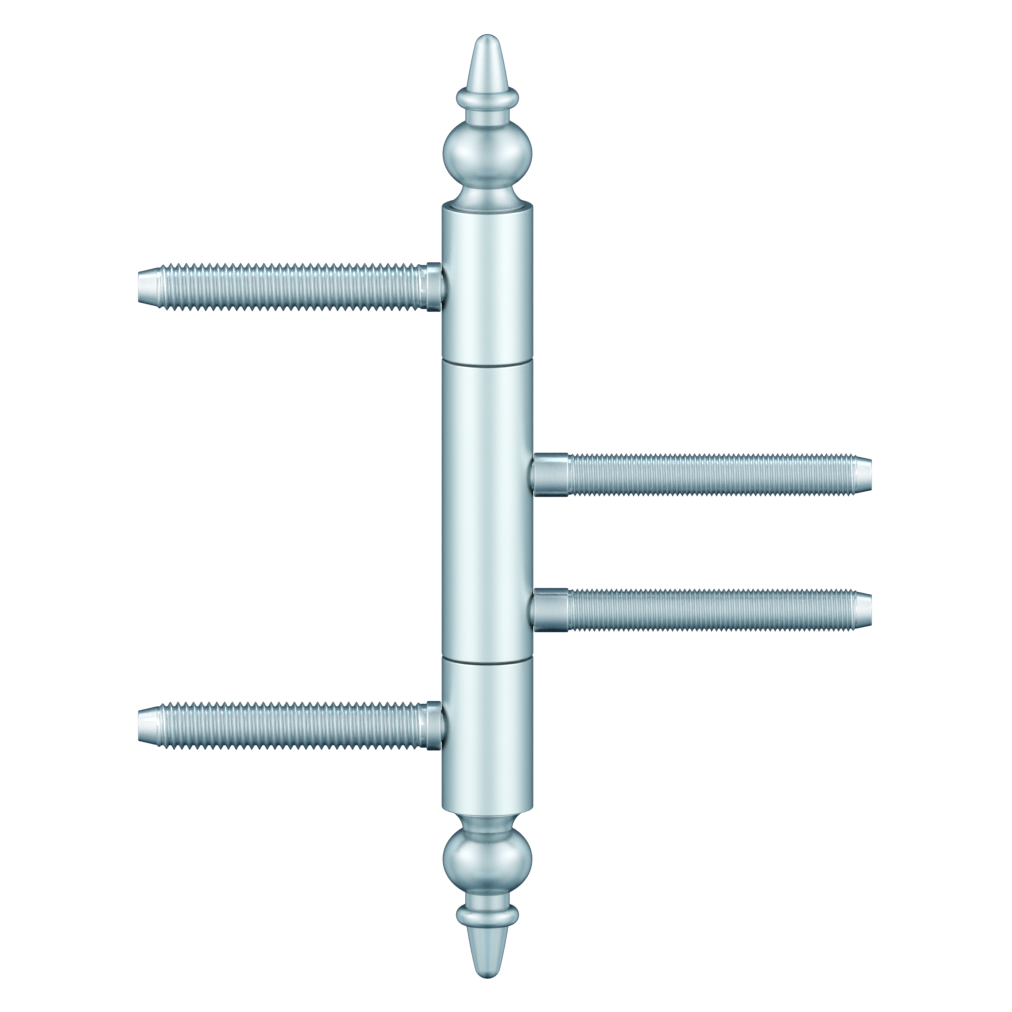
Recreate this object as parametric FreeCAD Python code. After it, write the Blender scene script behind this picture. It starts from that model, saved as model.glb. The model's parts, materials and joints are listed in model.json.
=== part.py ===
# Three-part drill-in hinge with turned finials, in millimetres.
# The hinge axis is Z, and the origin is on it at mid-height of the leaf barrel.
# The bolts of the door leaf point along +X and those of the door frame along -X.
import FreeCAD, Part
import math
import os
from FreeCAD import Vector

# Barrels
barrel_diameter = 20.0
leaf_barrel_height = 65.5
frame_barrel_height = 33.5
barrel_gap = 0.5                # between the leaf barrel and each frame barrel
barrel_edge = 0.3               # rounding of the outer edges

# Hinge pin, fixed in the frame barrels and tapped at both ends
pin_diameter = 11.0
pin_end_depth = 1.5             # pin ends below the outer faces of the frame barrels
pin_edge = 0.6

# Slide bushes, pressed into the ends of the leaf barrel
bush_wall = 1.0
bush_length = 20.0
bush_flange_diameter = 18.0
running_clearance = 0.05        # radial, pin to bush
face_clearance = 0.05           # axial, flange to frame barrel

# Socket set screws that lock the pin, in the back of the frame barrels
lock_screw_diameter = 5.0
lock_screw_length = 4.0
lock_screw_rise = 8.0           # above the gap end of the frame barrel
lock_screw_point = 3.5          # diameter of the flat point
lock_socket_width = 2.5         # across flats
lock_socket_depth = 1.8
pin_groove_depth = 0.5
pin_groove_width = 5.5

# Bolts of the door frame, one in each frame barrel
frame_bolt_rise = 15.4          # above the gap end of the frame barrel
frame_bolt_reach = 66.0         # from the barrel to the tip
frame_bolt_thread = 10.5        # diameter over the crests
frame_bolt_collar = 10.85
frame_bolt_collar_length = 3.15
frame_bolt_relief = 9.65
frame_bolt_relief_length = 1.2
frame_bolt_tip_base = 8.5
frame_bolt_tip = 6.75
frame_bolt_tip_length = 4.1
frame_bolt_lead = 2.5           # length over which the thread grows from the tip

# Bolts of the door leaf, both in the leaf barrel
leaf_bolt_drop = 25.75          # from the top of the leaf barrel to the upper bolt
leaf_bolt_spacing = 30.0
leaf_bolt_reach = 73.6
leaf_bolt_thread = 9.4
leaf_bolt_collar = 9.7
leaf_bolt_collar_length = 7.5
leaf_bolt_relief = 8.75
leaf_bolt_relief_length = 0.6
leaf_bolt_tip_base = 8.1
leaf_bolt_tip = 6.85
leaf_bolt_tip_length = 3.3
leaf_bolt_lead = 1.3

# Both kinds of bolt
bolt_tenon = 7.0                # fixed in the wall of the barrel
bolt_end_clearance = 0.1        # tenon to the pin or bush behind it
collar_gap = 0.1                # between the barrel and the collar
bolt_edge = 0.3
collar_edge = 0.35

# Finials, heights above the outer face of the frame barrel
finial_spigot_length = 1.0      # centres the finial in the barrel
finial_foot_diameter = 16.4
finial_foot_gap = 0.35          # shadow gap under the foot
finial_foot_gap_diameter = 15.4
finial_foot_edge = 0.2
flare_height = 4.6              # where the flare meets the ball
flare_hollow = 0.6
ball_diameter = 19.6
ball_height = 16.5              # the ball is a little flattened
ball_centre = 11.5
finial_neck_diameter = 9.7
bead_diameter = 13.8
bead_centre = 23.85
cone_base_diameter = 9.3
cone_tip_radius = 2.83
cone_tip_slope = 13.2           # degrees, where the cone meets its round tip
finial_height = 38.0

# Studs that join the finials to the pin
stud_diameter = 6.0
stud_length = 20.0
stud_pin_engagement = 10.0
stud_edge = 0.5
tapped_hole_spare = 0.5         # hole beyond the end of the stud
drill_point_angle = 118.0

# Places that follow from the sizes above
barrel_radius = barrel_diameter / 2
pin_radius = pin_diameter / 2
bush_bore_radius = pin_radius + running_clearance
bush_radius = bush_bore_radius + bush_wall
leaf_barrel_top = leaf_barrel_height / 2
frame_barrel_bottom = leaf_barrel_top + barrel_gap
frame_barrel_top = frame_barrel_bottom + frame_barrel_height
pin_top = frame_barrel_top - pin_end_depth
lock_screw_height = frame_barrel_bottom + lock_screw_rise
pin_groove_radius = pin_radius - pin_groove_depth
stud_radius = stud_diameter / 2
stud_bottom = pin_top - stud_pin_engagement
stud_top = stud_bottom + stud_length
drill_point_length = stud_radius / math.tan(math.radians(drill_point_angle / 2))
frame_tenon_end = pin_radius + bolt_end_clearance
leaf_tenon_end = bush_radius + bolt_end_clearance
frame_bolt_height = frame_barrel_bottom + frame_bolt_rise
leaf_bolt_upper_height = leaf_barrel_top - leaf_bolt_drop
leaf_bolt_lower_height = leaf_bolt_upper_height - leaf_bolt_spacing

AXIS = Vector(0, 0, 1)
ORIGIN = Vector(0, 0, 0)
LEAF_SIDE = Vector(1, 0, 0)
FRAME_SIDE = Vector(-1, 0, 0)
BACK = Vector(0, 1, 0)


def spin(edges):
    """Solid turned about Z from the edges of a closed outline in the XZ plane."""
    outline = Part.Wire(Part.__sortEdges__(edges))
    return Part.Face(outline).revolve(ORIGIN, AXIS, 360)


def turned(corners):
    """Solid turned about Z through (radius, height, rounding) corners."""
    points = [Vector(radius, 0, height) for radius, height, rounding in corners]
    count = len(points)
    edges, arrivals, departures = [], [], []
    for index, (radius, height, rounding) in enumerate(corners):
        corner = points[index]
        if not rounding:
            arrivals.append(corner)
            departures.append(corner)
            continue
        back = (points[index - 1] - corner).normalize()
        ahead = (points[(index + 1) % count] - corner).normalize()
        half_angle = back.getAngle(ahead) / 2
        start = corner + back * (rounding / math.tan(half_angle))
        end = corner + ahead * (rounding / math.tan(half_angle))
        inward = (back + ahead).normalize()
        middle = corner + inward * (rounding / math.sin(half_angle) - rounding)
        edges.append(Part.Arc(start, middle, end).toShape())
        arrivals.append(start)
        departures.append(end)
    for index in range(count):
        edges.append(Part.makeLine(departures[index], arrivals[(index + 1) % count]))
    return spin(edges)


def aimed(solid, direction, height):
    """Turns a solid made along +Z to point along direction, at a height on the axis."""
    turn = FreeCAD.Rotation(AXIS, direction)
    placed = solid.copy()
    placed.Placement = FreeCAD.Placement(Vector(0, 0, height), turn)
    return placed


def below(solid):
    """The same piece at the lower end of the hinge."""
    return solid.mirror(ORIGIN, AXIS)


def sleeve(bottom, top, bore_radius):
    """Plain barrel between two heights, with rounded outer edges."""
    return turned([
        (bore_radius, bottom, 0),
        (barrel_radius, bottom, barrel_edge),
        (barrel_radius, top, barrel_edge),
        (bore_radius, top, 0),
    ])


def wall_hole(diameter):
    """Cutter along +Z for a hole from the hinge axis out through one barrel wall."""
    return Part.makeCylinder(diameter / 2, barrel_diameter)


def bolt(tenon_end, collar, collar_length, relief, relief_length, thread, reach,
         tip_base, tip, tip_length, lead):
    """Bolt along +Z from its tenon to its tip, at its distance from the hinge axis."""
    collar_start = barrel_radius + collar_gap
    collar_end = collar_start + collar_length
    thread_start = collar_end + relief_length
    run_out = (thread - relief) / 2
    tip_end = barrel_radius + reach
    tip_start = tip_end - tip_length
    return turned([
        (0, tenon_end, 0),
        (bolt_tenon / 2, tenon_end, bolt_edge),
        (bolt_tenon / 2, collar_start, 0),
        (collar / 2, collar_start, collar_edge),
        (collar / 2, collar_end, collar_edge),
        (relief / 2, collar_end, 0),
        (relief / 2, thread_start, 0),
        (thread / 2, thread_start + run_out, 0),
        (thread / 2, tip_start - lead, 0),
        (tip_base / 2, tip_start, 0),
        (tip / 2, tip_end, bolt_edge),
        (0, tip_end, 0),
    ])


def make_frame_barrel():
    """Upper frame barrel with its bolt hole and the tapped hole of its lock screw."""
    barrel = sleeve(frame_barrel_bottom, frame_barrel_top, pin_radius)
    return barrel.cut([
        aimed(wall_hole(bolt_tenon), FRAME_SIDE, frame_bolt_height),
        aimed(wall_hole(lock_screw_diameter), BACK, lock_screw_height),
    ])


def make_leaf_barrel():
    """Leaf barrel, bored for the bushes, with the holes of its two bolts."""
    barrel = sleeve(-leaf_barrel_top, leaf_barrel_top, bush_radius)
    hole = wall_hole(bolt_tenon)
    heights = (leaf_bolt_upper_height, leaf_bolt_lower_height)
    return barrel.cut([aimed(hole, LEAF_SIDE, height) for height in heights])


def make_hinge_pin():
    """Pin with chamfered, tapped ends and a groove for each lock screw."""
    hole_depth = stud_pin_engagement + tapped_hole_spare
    groove_low = lock_screw_height - pin_groove_width / 2
    groove_high = lock_screw_height + pin_groove_width / 2
    upper_half = [
        (pin_radius, groove_low, 0),
        (pin_groove_radius, groove_low, 0),
        (pin_groove_radius, groove_high, 0),
        (pin_radius, groove_high, 0),
        (pin_radius, pin_top - pin_edge, 0),
        (pin_radius - pin_edge, pin_top, 0),
        (stud_radius, pin_top, 0),
        (stud_radius, pin_top - hole_depth, 0),
        (0, pin_top - hole_depth - drill_point_length, 0),
    ]
    lower_half = [(radius, -height, 0) for radius, height, rounding in reversed(upper_half)]
    return turned(upper_half + lower_half)


def make_bush():
    """Upper slide bush: a thin sleeve in the leaf barrel, with its flange in the gap."""
    foot = leaf_barrel_top - bush_length
    flange_top = frame_barrel_bottom - face_clearance
    return turned([
        (bush_bore_radius, foot, 0),
        (bush_radius, foot, 0),
        (bush_radius, leaf_barrel_top, 0),
        (bush_flange_diameter / 2, leaf_barrel_top, 0),
        (bush_flange_diameter / 2, flange_top, 0),
        (bush_bore_radius, flange_top, 0),
    ])


def make_lock_screw():
    """Set screw along +Z, from its flat point on the pin to its hexagon socket."""
    head = pin_groove_radius + lock_screw_length
    point_taper = (lock_screw_diameter - lock_screw_point) / 2
    body = turned([
        (0, pin_groove_radius, 0),
        (lock_screw_point / 2, pin_groove_radius, 0),
        (lock_screw_diameter / 2, pin_groove_radius + point_taper, 0),
        (lock_screw_diameter / 2, head, bolt_edge),
        (0, head, 0),
    ])
    corner_radius = lock_socket_width / math.sqrt(3)
    floor = head - lock_socket_depth
    corners = []
    for index in range(6):
        angle = math.radians(60 * index)
        corners.append(Vector(corner_radius * math.cos(angle),
                              corner_radius * math.sin(angle), floor))
    hexagon = Part.Face(Part.makePolygon(corners + corners[:1]))
    return body.cut(hexagon.extrude(AXIS * lock_screw_length))


def make_stud():
    """Upper stud, half in the pin and half in the finial."""
    return turned([
        (0, stud_bottom, 0),
        (stud_radius - stud_edge, stud_bottom, 0),
        (stud_radius, stud_bottom + stud_edge, 0),
        (stud_radius, stud_top - stud_edge, 0),
        (stud_radius - stud_edge, stud_top, 0),
        (0, stud_top, 0),
    ])


def bowed(start, end, sagitta):
    """Arc from start to end in the XZ plane, swelling out from the axis by sagitta."""
    chord = end - start
    outward = Vector(0, 1, 0).cross(chord).normalize()
    middle = (start + end) * 0.5 + outward * sagitta
    return Part.Arc(start, middle, end).toShape()


def make_finial():
    """Upper finial: spigot, flared foot, flattened ball, neck, bead and cone."""
    seat = frame_barrel_top

    def at(radius, height):
        return Vector(radius, 0, seat + height)

    ball_radius = ball_diameter / 2
    neck_radius = finial_neck_diameter / 2
    bead_radius = bead_diameter / 2 - neck_radius
    foot_radius = finial_foot_diameter / 2
    gap_radius = finial_foot_gap_diameter / 2
    foot_top = finial_foot_gap + finial_foot_edge

    # The ball is an ellipse that ends at the flare below and at the neck above
    centre = at(0, ball_centre)
    ellipse = Part.Ellipse(at(ball_radius, ball_centre),
                           at(0, ball_centre + ball_height / 2), centre)
    ball_start = math.asin((flare_height - ball_centre) / (ball_height / 2))
    ball_end = math.acos(neck_radius / ball_radius)
    ball = Part.ArcOfEllipse(ellipse, ball_start, ball_end).toShape()
    ball_bottom = at(ball_radius * math.cos(ball_start), flare_height)
    ball_top = at(neck_radius, ball_centre + ball_height / 2 * math.sin(ball_end))

    # The cone swells a little, so that it runs smoothly into its round tip
    slope = math.radians(cone_tip_slope)
    tip_centre = finial_height - cone_tip_radius
    cone_bottom = at(cone_base_diameter / 2, bead_centre + bead_radius)
    cone_top = at(cone_tip_radius * math.cos(slope),
                  tip_centre + cone_tip_radius * math.sin(slope))
    cone_chord = cone_top - cone_bottom
    chord_slope = math.atan2(-cone_chord.x, cone_chord.z)
    cone_swell = cone_chord.Length / 2 * math.tan((slope - chord_slope) / 2)
    tip_turn = (slope + math.pi / 2) / 2
    tip_middle = at(cone_tip_radius * math.cos(tip_turn),
                    tip_centre + cone_tip_radius * math.sin(tip_turn))
    tip = at(0, finial_height)

    hole_radius = stud_radius
    hole_top = stud_top + tapped_hole_spare - seat
    foot = [
        at(0, hole_top + drill_point_length),
        at(hole_radius, hole_top),
        at(hole_radius, -finial_spigot_length),
        at(pin_radius, -finial_spigot_length),
        at(pin_radius, 0),
        at(gap_radius, 0),
        at(gap_radius, finial_foot_gap),
        at(foot_radius, finial_foot_gap),
        at(foot_radius, foot_top),
    ]
    bead_bottom = at(neck_radius, bead_centre - bead_radius)
    bead_middle = at(neck_radius + bead_radius, bead_centre)
    bead_top = at(neck_radius, bead_centre + bead_radius)
    edges = [Part.makeLine(start, end) for start, end in zip(foot, foot[1:])]
    edges += [
        bowed(foot[-1], ball_bottom, -flare_hollow),
        ball,
        Part.makeLine(ball_top, bead_bottom),
        Part.Arc(bead_bottom, bead_middle, bead_top).toShape(),
        Part.makeLine(bead_top, cone_bottom),
        bowed(cone_bottom, cone_top, cone_swell),
        Part.Arc(cone_top, tip_middle, tip).toShape(),
        Part.makeLine(tip, foot[0]),
    ]
    return spin(edges)


frame_bolt = bolt(
    frame_tenon_end, frame_bolt_collar, frame_bolt_collar_length, frame_bolt_relief,
    frame_bolt_relief_length, frame_bolt_thread, frame_bolt_reach, frame_bolt_tip_base,
    frame_bolt_tip, frame_bolt_tip_length, frame_bolt_lead)
leaf_bolt = bolt(
    leaf_tenon_end, leaf_bolt_collar, leaf_bolt_collar_length, leaf_bolt_relief,
    leaf_bolt_relief_length, leaf_bolt_thread, leaf_bolt_reach, leaf_bolt_tip_base,
    leaf_bolt_tip, leaf_bolt_tip_length, leaf_bolt_lead)

# Pieces of the upper end, each with a twin at the lower end
upper_pieces = {
    "frame_barrel": make_frame_barrel(),
    "bush": make_bush(),
    "finial": make_finial(),
    "finial_stud": make_stud(),
    "frame_bolt": aimed(frame_bolt, FRAME_SIDE, frame_bolt_height),
    "lock_screw": aimed(make_lock_screw(), BACK, lock_screw_height),
}

pieces = {
    "leaf_barrel": make_leaf_barrel(),
    "hinge_pin": make_hinge_pin(),
    "upper_leaf_bolt": aimed(leaf_bolt, LEAF_SIDE, leaf_bolt_upper_height),
    "lower_leaf_bolt": aimed(leaf_bolt, LEAF_SIDE, leaf_bolt_lower_height),
}
for name, solid in upper_pieces.items():
    pieces["upper_" + name] = solid
    pieces["lower_" + name] = below(solid)

os.makedirs("parts", exist_ok=True)
for name, shape in pieces.items():
    (solid,) = shape.Solids
    solid.exportStep(os.path.join("parts", name + ".step"))
    print("%-20s valid %s, %.1f mm3" % (name, solid.isValid(), solid.Volume))
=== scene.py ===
import json
import math

import bmesh
import bpy
from mathutils import Matrix, Vector


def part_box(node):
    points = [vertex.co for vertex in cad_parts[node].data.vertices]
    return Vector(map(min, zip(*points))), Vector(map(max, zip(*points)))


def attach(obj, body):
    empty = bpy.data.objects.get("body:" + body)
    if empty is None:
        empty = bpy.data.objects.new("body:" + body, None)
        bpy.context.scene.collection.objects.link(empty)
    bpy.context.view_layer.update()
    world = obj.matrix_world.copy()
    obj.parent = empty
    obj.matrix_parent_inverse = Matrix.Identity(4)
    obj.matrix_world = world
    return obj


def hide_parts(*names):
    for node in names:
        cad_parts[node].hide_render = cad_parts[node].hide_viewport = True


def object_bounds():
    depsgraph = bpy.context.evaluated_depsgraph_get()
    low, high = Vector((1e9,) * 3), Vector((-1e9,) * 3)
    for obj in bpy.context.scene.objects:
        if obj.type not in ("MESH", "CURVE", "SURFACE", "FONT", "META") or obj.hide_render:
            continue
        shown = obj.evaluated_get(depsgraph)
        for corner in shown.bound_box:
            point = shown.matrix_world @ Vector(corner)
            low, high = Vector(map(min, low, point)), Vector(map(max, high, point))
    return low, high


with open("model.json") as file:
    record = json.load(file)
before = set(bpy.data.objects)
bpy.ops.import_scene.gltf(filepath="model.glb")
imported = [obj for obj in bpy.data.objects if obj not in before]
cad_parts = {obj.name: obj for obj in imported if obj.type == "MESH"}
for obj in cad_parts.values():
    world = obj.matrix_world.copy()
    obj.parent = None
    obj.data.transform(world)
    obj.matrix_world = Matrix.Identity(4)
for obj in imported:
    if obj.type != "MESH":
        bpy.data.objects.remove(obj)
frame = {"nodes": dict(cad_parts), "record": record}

cad_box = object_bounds()
MM = 0.001

# Places and sizes of the hinge's own solids
mounts = {mount["name"]: mount for mount in frame["record"]["mounts"]}
hinge_bottom = cad_box[0].z
barrel_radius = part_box("leaf_barrel")[1].x

# The photograph's view: its angle, the width that it shows, and the point at its centre
IMAGE_WIDTH = 1012
PHOTO_ELEVATION = 11.45
PHOTO_SCALE = 4.6               # pixels per millimetre
PHOTO_AXIS_X = 487.5            # pixel column of the hinge axis
PHOTO_MIDDLE_Y = 506.4          # pixel row of the leaf barrel's middle
CAMERA_DISTANCE = 1.5
CAMERA_NEAR, CAMERA_FAR = 0.1, 20.0


# Camera

def make_camera():
    """Long-lens view of the hinge from the front, a little from above."""
    camera = bpy.data.objects.new("camera", bpy.data.cameras.new("camera"))
    camera.data.type = "ORTHO"
    camera.data.ortho_scale = IMAGE_WIDTH / PHOTO_SCALE * MM
    elevation = math.radians(PHOTO_ELEVATION)
    towards = Vector((0, -math.cos(elevation), math.sin(elevation)))
    right = Vector((1, 0, 0))
    up = towards.cross(right)
    middle = IMAGE_WIDTH / 2
    target = (right * (middle - PHOTO_AXIS_X) + up * (PHOTO_MIDDLE_Y - middle)) / PHOTO_SCALE * MM
    camera.location = target + towards * CAMERA_DISTANCE
    camera.rotation_euler = towards.to_track_quat("Z", "Y").to_euler()
    camera.data.clip_start = CAMERA_NEAR
    camera.data.clip_end = CAMERA_FAR
    bpy.context.scene.collection.objects.link(camera)
    bpy.context.scene.camera = camera


# Node helpers

def add_node(tree, kind, inputs=None, **settings):
    """New node with its settings, and its inputs set to values or linked to sockets."""
    node = tree.nodes.new(kind)
    for name, value in settings.items():
        setattr(node, name, value)
    for name, value in (inputs or {}).items():
        if isinstance(value, bpy.types.NodeSocket):
            tree.links.new(value, node.inputs[name])
        else:
            node.inputs[name].default_value = value
    return node


def new_material(name):
    """Empty material, its node tree, and its principled shader."""
    material = bpy.data.materials.new(name)
    material.use_nodes = True
    return material, material.node_tree, material.node_tree.nodes["Principled BSDF"]


def object_place(tree):
    """Place on the piece itself, in metres."""
    return add_node(tree, "ShaderNodeTexCoord").outputs["Object"]


def squeezed(tree, place, scale):
    """A place that squeezes the pattern on it along each axis by a scale."""
    return add_node(tree, "ShaderNodeMapping", {"Vector": place, "Scale": scale}).outputs["Vector"]


def noise(tree, place, scale, detail=3.0, roughness=0.55):
    """Noise from 0 to 1 over a place, at a scale per metre."""
    node = add_node(tree, "ShaderNodeTexNoise",
                    {"Vector": place, "Scale": scale, "Detail": detail, "Roughness": roughness})
    return node.outputs["Fac"]


def ramp(tree, value, low, high):
    """Maps a value from 0 to 1 onto low to high."""
    node = add_node(tree, "ShaderNodeMapRange",
                    {"Value": value, "To Min": low, "To Max": high})
    return node.outputs["Result"]


def scaled_colour(tree, colour, factor):
    """A colour times a factor from a socket."""
    node = tree.nodes.new("ShaderNodeMix")
    node.data_type = "RGBA"
    node.blend_type = "MULTIPLY"
    node.inputs["Factor"].default_value = 1.0
    tree.links.new(colour, node.inputs["A"])
    tree.links.new(factor, node.inputs["B"])
    return node.outputs["Result"]


def mixed_colour(tree, factor, first, second):
    """Blend of two colours by a factor."""
    node = tree.nodes.new("ShaderNodeMix")
    node.data_type = "RGBA"
    tree.links.new(factor, node.inputs["Factor"])
    node.inputs["A"].default_value = (*first, 1)
    node.inputs["B"].default_value = (*second, 1)
    return node.outputs["Result"]


# Materials

BUMP_HEIGHT = 0.00002           # metres from the lowest to the highest grain
CLOUDINESS = 0.027              # how far the plating's tone drifts either way
PAINTED_SHADE_REACH = 0.005            # how far away a surface still darkens a recess with painted shade
PAINTED_RECESS_SHADE = (0.02, 0.12, 0.17)   # tone that the painted shade leaves in a fully closed recess
ROLLED_ROUGHNESS = 0.06         # how much rougher the rolled threads are than the collars


def dress(tree, shader, colour, roughness, metallic=0.0):
    """Gives a shader its colour and roughness from sockets, and its share of metal."""
    tree.links.new(colour, shader.inputs["Base Color"])
    tree.links.new(roughness, shader.inputs["Roughness"])
    shader.inputs["Metallic"].default_value = metallic


def add_bumps(tree, shader, height, strength):
    """Fine bumps on a surface, from a height of 0 to 1."""
    bump = add_node(tree, "ShaderNodeBump",
                    {"Height": height, "Strength": strength, "Distance": BUMP_HEIGHT})
    tree.links.new(bump.outputs["Normal"], shader.inputs["Normal"])


def make_satin_plating(name, tone, low_roughness, high_roughness, painted_shade_depth):
    """Satin plating on turned steel: fine even grain, faint cloudiness, painted shade in recesses.
    """
    material, tree, shader = new_material(name)
    place = object_place(tree)
    cloud = noise(tree, place, scale=90, detail=4)
    grain = noise(tree, place, scale=9000, detail=2)
    dark = [(1 - CLOUDINESS) * part for part in tone]
    light = [(1 + CLOUDINESS) * part for part in tone]
    # Painted shade: ambient occlusion darkens the tone towards the recess shade where the surface
    # is closed in
    openness = add_node(tree, "ShaderNodeAmbientOcclusion",
                        {"Distance": PAINTED_SHADE_REACH}, samples=16).outputs["AO"]
    openness = add_node(tree, "ShaderNodeMath", {0: openness, 1: painted_shade_depth},
                        operation="POWER").outputs[0]
    painted_shade = mixed_colour(tree, openness, PAINTED_RECESS_SHADE, (1.0, 1.0, 1.0))
    colour = scaled_colour(tree, mixed_colour(tree, cloud, dark, light), painted_shade)
    dress(tree, shader, colour, ramp(tree, grain, low_roughness, high_roughness), metallic=1.0)
    add_bumps(tree, shader, grain, strength=0.06)
    return material


def make_bolt_zinc():
    """Bright zinc plating: fine streaks round the bolt, painted highlight along the crests,
    painted shade on the tenon, rougher threads.
    """
    material, tree, shader = new_material("bolt_zinc")
    place = object_place(tree)
    streaks = noise(tree, squeezed(tree, place, (5.0, 1.0, 1.0)), scale=900, detail=4)
    mottle = noise(tree, place, scale=2200, detail=3)
    colour = mixed_colour(tree, streaks, (0.495, 0.60, 0.63), (0.585, 0.70, 0.725))
    # The finish attribute holds the painted light, a factor on the tone that paints highlight
    # along the crests and shade on the tenon, and the share of rolled thread
    finish = add_node(tree, "ShaderNodeAttribute", attribute_name="finish").outputs["Vector"]
    finish = add_node(tree, "ShaderNodeSeparateXYZ", {"Vector": finish})
    painted_light, rolled = finish.outputs["X"], finish.outputs["Y"]
    roughness = add_node(tree, "ShaderNodeMath", {
        0: rolled, 1: ROLLED_ROUGHNESS, 2: ramp(tree, mottle, low=0.18, high=0.28)},
        operation="MULTIPLY_ADD").outputs[0]
    dress(tree, shader, scaled_colour(tree, colour, painted_light), roughness, metallic=1.0)
    add_bumps(tree, shader, streaks, strength=0.12)
    return material


def make_pin_steel():
    """Ground bare steel of the hidden pin and studs."""
    material, tree, shader = new_material("pin_steel")
    lines = noise(tree, squeezed(tree, object_place(tree), (1.0, 1.0, 8.0)), scale=1500, detail=3)
    colour = mixed_colour(tree, lines, (0.50, 0.51, 0.52), (0.60, 0.61, 0.62))
    dress(tree, shader, colour, ramp(tree, lines, low=0.22, high=0.34), metallic=1.0)
    return material


def make_bush_plastic():
    """Dark matt bearing plastic."""
    material, tree, shader = new_material("bush_plastic")
    speckle = noise(tree, object_place(tree), scale=6000, detail=3)
    colour = mixed_colour(tree, speckle, (0.085, 0.130, 0.140), (0.130, 0.185, 0.200))
    dress(tree, shader, colour, ramp(tree, speckle, low=0.45, high=0.60))
    return material


def make_screw_black():
    """Blackened steel of the lock screws."""
    material, tree, shader = new_material("screw_black")
    speckle = noise(tree, object_place(tree), scale=5000, detail=3)
    colour = mixed_colour(tree, speckle, (0.030, 0.031, 0.034), (0.065, 0.066, 0.070))
    dress(tree, shader, colour, ramp(tree, speckle, low=0.30, high=0.45), metallic=0.8)
    return material


# Threaded bolts, in millimetres along +X from the hinge axis

RING = 96                       # points round a bolt
CREST_FLAT = 0.10               # share of a pitch that is flat at the crest
FLANK_ANGLE = 60.0
ROOT_LIFT = 0.16                # the rounded root's share of the thread's depth
ROOT_STEPS = 4
UPPER_FLANK = 0.3               # share of a flank above the point that keeps the painted gleam narrow
EDGE_STEPS = 5
COLLAR_EDGE = 0.35
TIP_EDGE = 0.3
SHARP_ANGLE = 38                # degrees between faces that meet in a crisp edge
JOINED = 0.001                  # points closer than this are one

# Painted light on the zinc, as a factor on its tone: painted shade on the tenon, painted highlight
# along the crests
TENON_PAINTED_SHADE = 0.95
NO_PAINTED_LIGHT = 1.0
PAINTED_GLEAM_POWER = 4                 # the higher, the narrower the painted highlight along the crests

# Places along the bolt, lengths and radii of each kind of bolt, and the painted light at its
# threads' roots and crests
BOLT_KINDS = {
    "frame": dict(tenon=3.5, tenon_end=5.6, collar_gap=0.1, collar=5.425,
                  collar_length=3.15, relief=4.825, relief_length=1.1, run_out=2.0,
                  root=4.25, pitch=1.686, lead=3.0, tip_base=4.25, tip=3.375,
                  tip_length=4.1, root_painted_light=1.00, crest_painted_highlight=1.38),
    "leaf": dict(tenon=3.5, tenon_end=6.65, collar_gap=0.1, collar=4.85,
                 collar_length=7.5, relief=4.375, relief_length=0.5, run_out=1.0,
                 root=4.05, pitch=1.0617, lead=1.4, tip_base=4.05, tip=3.425,
                 tip_length=3.3, root_painted_light=1.02, crest_painted_highlight=1.38),
}

# Place of a crest on each bolt at the start of its turn, within one pitch
CREST_PLACES = {"upper_frame_bolt": 0.92, "lower_frame_bolt": 1.04,
                "upper_leaf_bolt": 0.21, "lower_leaf_bolt": 0.19}


def thread_section(pitch, depth):
    """(distance from the crest's middle, share of the depth) over one pitch."""
    crest_half = CREST_FLAT * pitch / 2
    flank = depth * (1 - ROOT_LIFT) * math.tan(math.radians(FLANK_ANGLE / 2))
    root_half = pitch / 2 - crest_half - flank
    upper_share = 1 - UPPER_FLANK * (1 - ROOT_LIFT)
    section = [(-crest_half, 1.0), (crest_half, 1.0),
               (crest_half + UPPER_FLANK * flank, upper_share)]
    for step in range(ROOT_STEPS + 1):
        turn = math.pi * step / ROOT_STEPS
        along = crest_half + flank + root_half * (1 - math.cos(turn))
        section.append((along, ROOT_LIFT * (1 - math.sin(turn))))
    section.append((pitch - crest_half - UPPER_FLANK * flank, upper_share))
    return section


def rounded(x, radius, size, sign):
    """(x, radius) points of a rounded outer corner, from the face to the rim or back."""
    points = []
    for step in range(EDGE_STEPS + 1):
        turn = math.pi / 2 * step / EDGE_STEPS
        points.append((x + sign * size * (1 - math.sin(turn)),
                       radius - size * (1 - math.cos(turn))))
    return points[::-1] if sign > 0 else points


def growth(distance, length):
    """Share of its full height that a thread has at a distance from its end."""
    return math.sqrt(min(max(distance / length, 0.0), 1.0))


def add_ring(mesh, places, radii, painted_light, rolled):
    """Line of points once round the X axis, with its own values at each angle."""
    finish = mesh.verts.layers.float_vector["finish"]
    ring = []
    for index in range(RING + 1):
        turn = 2 * math.pi * index / RING
        point = mesh.verts.new((places[index], radii[index] * math.cos(turn),
                                radii[index] * math.sin(turn)))
        point[finish] = (painted_light[index], rolled[index], 0)
        ring.append(point)
    return ring


def join_rings(mesh, first, second):
    """Band of quads between two rings."""
    for index in range(RING):
        mesh.faces.new((first[index], first[index + 1], second[index + 1], second[index]))


def add_profile(mesh, points, last=None, painted_light=NO_PAINTED_LIGHT):
    """Turned bands through (x, radius) points, joined on from the ring before."""
    for x, radius in points:
        level_values = [[value] * (RING + 1) for value in (x, radius, painted_light, 0)]
        ring = add_ring(mesh, *level_values)
        if last:
            join_rings(mesh, last, ring)
        last = ring
    return last


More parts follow.
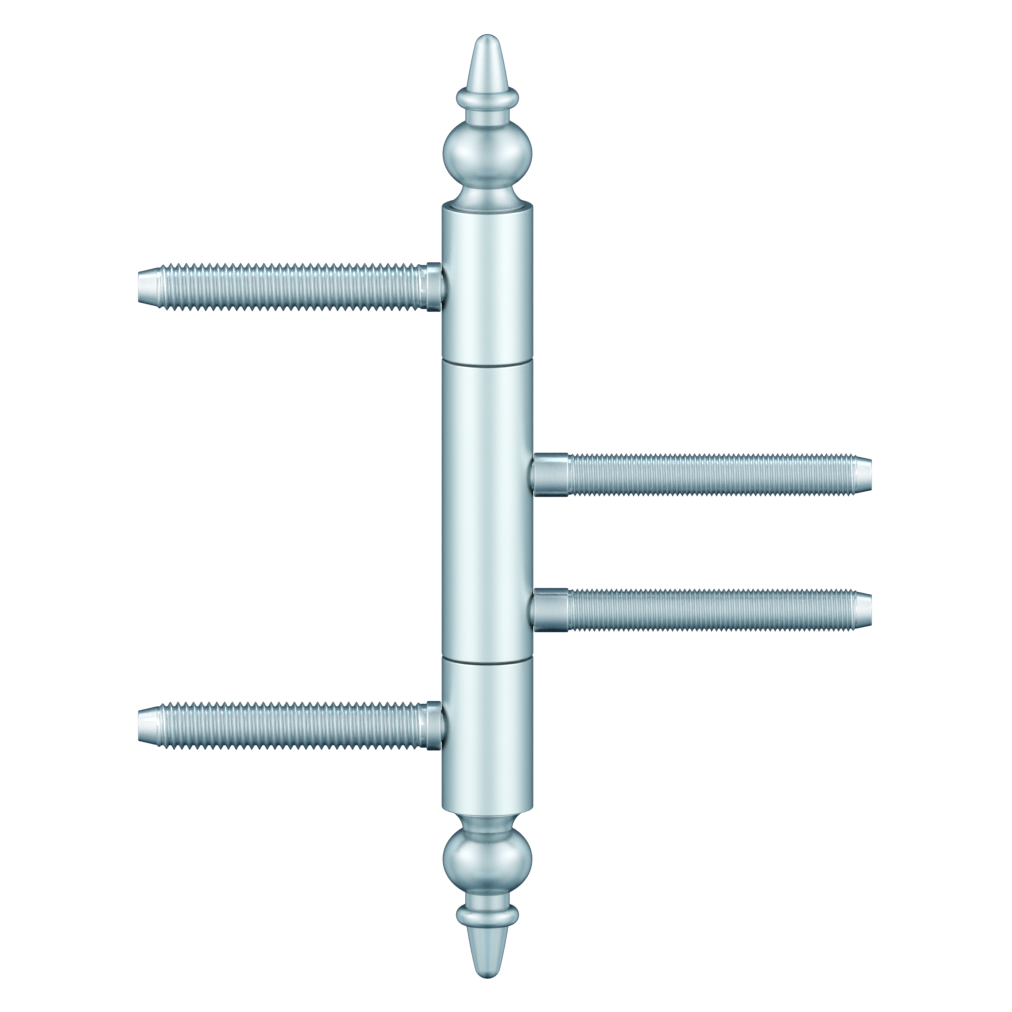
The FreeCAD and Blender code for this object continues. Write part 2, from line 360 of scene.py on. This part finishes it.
def add_thread(mesh, size, crest, crest_place, start, end, last):
    """Helical thread from its run-out at start to its first turn at end."""
    pitch, root = size["pitch"], size["root"]
    gleam = size["crest_painted_highlight"] - size["root_painted_light"]
    # The turns reach past both ends, where they are cut off square
    first_crest = start - (start - crest_place) % pitch - pitch
    turns = int((end - start) / pitch) + 3
    for turn in range(turns):
        for along, share in thread_section(pitch, crest - root):
            # Painted highlight: the zinc's tone brightens towards each crest
            shine = size["root_painted_light"] + gleam * share ** PAINTED_GLEAM_POWER
            places, radii, painted_light, rolled = [], [], [], []
            for index in range(RING + 1):
                x = first_crest + (turn + index / RING) * pitch + along
                x = min(max(x, start), end)
                run_out = growth(x - start, size["run_out"])
                base = size["relief"] + (root - size["relief"]) * run_out
                full = run_out * growth(end - x, size["lead"])
                places.append(x)
                radii.append(base + (crest - root) * full * share)
                painted_light.append(NO_PAINTED_LIGHT + (shine - NO_PAINTED_LIGHT) * full)
                rolled.append(full)
            if places[-1] > start and places[0] < end:
                ring = add_ring(mesh, places, radii, painted_light, rolled)
                join_rings(mesh, last, ring)
                last = ring
    return last


def make_bolt_mesh(name, kind, crest, reach, crest_place):
    """Bolt with a real helical thread, from its tenon in the barrel to its coned tip."""
    size = BOLT_KINDS[kind]
    collar_start = barrel_radius / MM + size["collar_gap"]
    collar_end = collar_start + size["collar_length"]
    thread_start = collar_end + size["relief_length"]
    thread_end = reach - size["tip_length"]
    mesh = bmesh.new()
    mesh.verts.layers.float_vector.new("finish")
    # The tenon, in the gap between barrel and collar, carries painted shade
    last = add_profile(mesh, [(size["tenon_end"], size["tenon"]),
                              (collar_start, size["tenon"])], painted_light=TENON_PAINTED_SHADE)
    mesh.faces.new(list(mesh.verts)[:RING])
    last = add_profile(mesh, rounded(collar_start, size["collar"], COLLAR_EDGE, 1), last)
    last = add_profile(mesh, rounded(collar_end, size["collar"], COLLAR_EDGE, -1), last)
    last = add_profile(mesh, [(collar_end, size["relief"]),
                              (thread_start, size["relief"])], last)
    last = add_thread(mesh, size, crest, crest_place, thread_start, thread_end, last)
    last = add_profile(mesh, [(thread_end, size["tip_base"])], last)
    last = add_profile(mesh, rounded(reach, size["tip"], TIP_EDGE, -1), last)
    mesh.faces.new(last[:RING])

    bmesh.ops.remove_doubles(mesh, verts=mesh.verts, dist=JOINED)
    bmesh.ops.dissolve_degenerate(mesh, edges=mesh.edges, dist=JOINED / 10)
    bmesh.ops.recalc_face_normals(mesh, faces=mesh.faces)
    bmesh.ops.scale(mesh, verts=mesh.verts, vec=(MM, MM, MM))
    data = bpy.data.meshes.new(name)
    mesh.to_mesh(data)
    mesh.free()
    data.shade_smooth()
    data.set_sharp_from_angle(angle=math.radians(SHARP_ANGLE))
    return data


def make_bolt(node, kind, body, material, collection):
    """Threaded bolt in place of the plain solid of its node."""
    mount = mounts[node]
    low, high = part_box(node)
    towards_leaf = mount["axis"][0] > 0
    reach = (high.x if towards_leaf else -low.x) / MM
    data = make_bolt_mesh(node + "_threaded", kind, mount["dims"]["r_mm"], reach,
                          CREST_PLACES[node])
    if not towards_leaf:
        data.transform(Matrix.Rotation(math.pi, 4, "Z"))
    data.transform(Matrix.Translation((0, 0, (low.z + high.z) / 2)))
    bolt = bpy.data.objects.new(node + "_threaded", data)
    bolt.data.materials.append(material)
    collection.objects.link(bolt)
    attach(bolt, body)
    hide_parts(node)


# World and floor

WHITE = (1.0, 1.0, 1.0, 1.0)
FILL_COLOUR = (0.93, 0.97, 1.0, 1.0)
FILL_STRENGTH = 0.75
FLOOR_DROP = 0.22               # floor below the lowest point of the hinge
FLOOR_RADIUS = 6.0
FLOOR_PAINT = (0.86, 0.86, 0.86, 1.0)
FLOOR_GLOW = 0.44               # added to the sight of the floor, but not to its light


def seen_directly(tree):
    """1 for camera, glossy and transmission rays, 0 for the light that falls on things."""
    path = add_node(tree, "ShaderNodeLightPath")
    camera_or_glossy = add_node(tree, "ShaderNodeMath", {
        0: path.outputs["Is Camera Ray"], 1: path.outputs["Is Glossy Ray"]},
        operation="MAXIMUM")
    either = add_node(tree, "ShaderNodeMath", {
        0: camera_or_glossy.outputs[0], 1: path.outputs["Is Transmission Ray"]},
        operation="MAXIMUM")
    return either.outputs[0]


def make_world():
    """White all round to the eye and in reflections, a soft cool fill as light."""
    world = bpy.data.worlds.new("studio")
    world.use_nodes = True
    bpy.context.scene.world = world
    tree = world.node_tree
    tree.nodes.clear()
    fill = add_node(tree, "ShaderNodeBackground",
                    {"Color": FILL_COLOUR, "Strength": FILL_STRENGTH})
    white = add_node(tree, "ShaderNodeBackground", {"Color": WHITE, "Strength": 1.0})
    mix = add_node(tree, "ShaderNodeMixShader", {"Fac": seen_directly(tree)})
    tree.links.new(fill.outputs[0], mix.inputs[1])
    tree.links.new(white.outputs[0], mix.inputs[2])
    output = add_node(tree, "ShaderNodeOutputWorld")
    tree.links.new(mix.outputs[0], output.inputs["Surface"])


def make_floor():
    """Pale floor that renders white where it is fully lit and keeps the shadow."""
    material, tree, shader = new_material("floor")
    tree.nodes.remove(shader)
    paint = add_node(tree, "ShaderNodeBsdfDiffuse", {"Color": FLOOR_PAINT})
    strength = add_node(tree, "ShaderNodeMath", {0: seen_directly(tree), 1: FLOOR_GLOW},
                        operation="MULTIPLY").outputs[0]
    glow = add_node(tree, "ShaderNodeEmission", {"Color": WHITE, "Strength": strength})
    both = add_node(tree, "ShaderNodeAddShader")
    tree.links.new(paint.outputs[0], both.inputs[0])
    tree.links.new(glow.outputs[0], both.inputs[1])
    tree.links.new(both.outputs[0], tree.nodes["Material Output"].inputs["Surface"])
    mesh = bmesh.new()
    bmesh.ops.create_circle(mesh, cap_ends=True, segments=96, radius=FLOOR_RADIUS)
    data = bpy.data.meshes.new("floor")
    mesh.to_mesh(data)
    mesh.free()
    floor = bpy.data.objects.new("floor", data)
    floor.location.z = hinge_bottom - FLOOR_DROP
    floor.data.materials.append(material)
    floor.visible_glossy = False
    bpy.context.scene.collection.objects.link(floor)


# Light tent, which only shows in reflections: soft glows on a dim wall, left and right alike

TENT_RADIUS = 1.0
TENT_STEP = 10                  # degrees between the points of the wall
TENT_DIM = 0.02

# Each glow's brightness, azimuth from the front, elevation, and reach in either, in degrees
TENT_GLOWS = {
    "front": (1.30, 36, 0, 35, 55),
    "side": (0.95, 80, 20, 35, 20),
    "low_side": (0.80, 80, -30, 30, 45),
    "high_side": (1.35, 85, 60, 60, 35),
    "back": (0.35, 125, -5, 25, 100),
}

# Powers of the green level that red and blue have, which make the dim parts more blue-green
RED_POWER = 1.4
DIM_BLUE_POWER, BRIGHT_BLUE_POWER = 0.83, 0.95


def shade(level):
    """Colour of the tent at a brightness."""
    blue_power = DIM_BLUE_POWER if level < 1 else BRIGHT_BLUE_POWER
    return (level ** RED_POWER, level, level ** blue_power, 1.0)


def tent_level(azimuth, elevation):
    """Brightness of the tent in one direction."""
    level = TENT_DIM
    for strength, glow_azimuth, glow_elevation, width, height in TENT_GLOWS.values():
        for side in (-1, 1):
            turn = (azimuth - side * glow_azimuth + 180) % 360 - 180
            level += strength * math.exp(-(turn / width) ** 2
                                         - ((elevation - glow_elevation) / height) ** 2)
    return level


def make_tent_mesh():
    """Sphere of points, each with the tent's colour in its direction."""
    azimuths = range(-180, 181, TENT_STEP)
    mesh = bmesh.new()
    colour_layer = mesh.verts.layers.float_color.new("shade")
    rows = []
    for elevation in range(90, -91, -TENT_STEP):
        row = []
        for azimuth in azimuths:
            turn, lift = math.radians(azimuth), math.radians(elevation)
            point = mesh.verts.new(Vector((math.sin(turn) * math.cos(lift),
                                           -math.cos(turn) * math.cos(lift),
                                           math.sin(lift))) * TENT_RADIUS)
            point[colour_layer] = shade(tent_level(azimuth, elevation))
            row.append(point)
        rows.append(row)
    for upper, lower in zip(rows, rows[1:]):
        for index in range(len(azimuths) - 1):
            mesh.faces.new((upper[index], upper[index + 1], lower[index + 1], lower[index]))
    data = bpy.data.meshes.new("tent")
    mesh.to_mesh(data)
    mesh.free()
    return data


def make_tent():
    """Painted light tent round the hinge, hidden from the eye and from matt surfaces."""
    data = make_tent_mesh()
    material, tree, shader = new_material("tent")
    tree.nodes.remove(shader)
    paint = add_node(tree, "ShaderNodeAttribute", attribute_name="shade")
    light = add_node(tree, "ShaderNodeEmission", {"Color": paint.outputs["Color"]})
    tree.links.new(light.outputs[0], tree.nodes["Material Output"].inputs["Surface"])
    data.materials.append(material)
    tent = bpy.data.objects.new("tent", data)
    tent.visible_camera = False
    tent.visible_diffuse = False
    tent.visible_shadow = False
    bpy.context.scene.collection.objects.link(tent)


# Soft lamps: size, brightness, and where they stand and aim, in metres from the hinge's middle

SIDE_DISTANCE = 0.75
SIDE_LAMPS = {
    "softbox": dict(azimuth=47, height=0.16, size=(0.62, 0.90), radiance=0.60),
    "rim": dict(azimuth=130, height=-0.1, size=(0.50, 1.10), radiance=0.35),
}
MIDDLE_LAMPS = {
    "crown": dict(place=(0, 0.30, 0.62), aim=(0, 0, 0.1), size=(0.50, 0.50), radiance=0.6),
    "low_front": dict(place=(0, -0.25, -0.28), aim=(0, 0, -0.1), size=(0.35, 0.15), radiance=0.3),
    "overhead": dict(place=(0, 0.07, 0.50), aim=(0, 0, 0), size=(0.44, 0.25), radiance=1.25),
}


def add_lamp(name, place, aim, size, radiance, receivers=None):
    """Rectangular soft lamp of a given brightness, for every piece or for its receivers."""
    width, height = size
    lamp = bpy.data.lights.new(name, "AREA")
    lamp.shape = "RECTANGLE"
    lamp.size, lamp.size_y = width, height
    lamp.energy = radiance * math.pi * width * height
    box = bpy.data.objects.new(name, lamp)
    box.location = place
    box.rotation_euler = (Vector(place) - Vector(aim)).to_track_quat("Z", "Y").to_euler()
    bpy.context.scene.collection.objects.link(box)
    if receivers:
        box.light_linking.receiver_collection = receivers
    return box


def add_side_lamp(kind, side_name, side, receivers=None):
    """Lamp to one side, turned away from the front, that faces the axis at its own height."""
    lamp = SIDE_LAMPS[kind]
    turn = math.radians(lamp["azimuth"])
    place = (side * SIDE_DISTANCE * math.sin(turn), -SIDE_DISTANCE * math.cos(turn),
             lamp["height"])
    return add_lamp(f"{side_name}_{kind}", place, (0, 0, lamp["height"]), lamp["size"],
                    lamp["radiance"], receivers)


def make_lamps(bolts, finials):
    """Softboxes that light every piece, and lamps for the finials or the bolts alone."""
    for side_name, side in (("left", -1), ("right", 1)):
        softbox = add_side_lamp("softbox", side_name, side)
        softbox.visible_glossy = False
        add_side_lamp("rim", side_name, side, finials)
    add_lamp("crown", **MIDDLE_LAMPS["crown"], receivers=finials)
    add_lamp("low_front", **MIDDLE_LAMPS["low_front"], receivers=finials)
    add_lamp("overhead", **MIDDLE_LAMPS["overhead"], receivers=bolts)


# The hinge

# Each plating's recess depth sets how strongly it paints shade into its recesses
finishes = {
    "satin_plating": make_satin_plating("satin_plating", tone=(0.57, 0.715, 0.73),
                                        low_roughness=0.28, high_roughness=0.36,
                                        painted_shade_depth=0.1),
    "bolt_zinc": make_bolt_zinc(),
    "pin_steel": make_pin_steel(),
    "bush_plastic": make_bush_plastic(),
    "screw_black": make_screw_black(),
}
# Painted shade: the finials get a darker, bluer copy of the satin plating, with a little less
# roughness and stronger painted shade in recesses
finial_shaded_plating = make_satin_plating("finial_shaded_plating", tone=(0.43, 0.57, 0.60),
                                    low_roughness=0.24, high_roughness=0.32,
                                    painted_shade_depth=0.3)
finials = bpy.data.collections.new("finials")
for part in frame["record"]["subparts"]:
    node = frame["nodes"][part["node"]]
    finish = finishes[part["material_slot"]]
    if part["node"].endswith("finial"):
        finish = finial_shaded_plating
        finials.objects.link(node)
    node.data.materials.clear()
    node.data.materials.append(finish)

bolts = bpy.data.collections.new("bolts")
bpy.context.scene.collection.children.link(bolts)
for node, mount in mounts.items():
    if mount["kind"] == "pin":
        kind = "leaf" if "leaf" in node else "frame"
        make_bolt(node, kind, kind, finishes["bolt_zinc"], bolts)

make_camera()
make_world()
make_floor()
make_lamps(bolts, finials)
make_tent()

bpy.context.scene.view_settings.view_transform = "Standard"
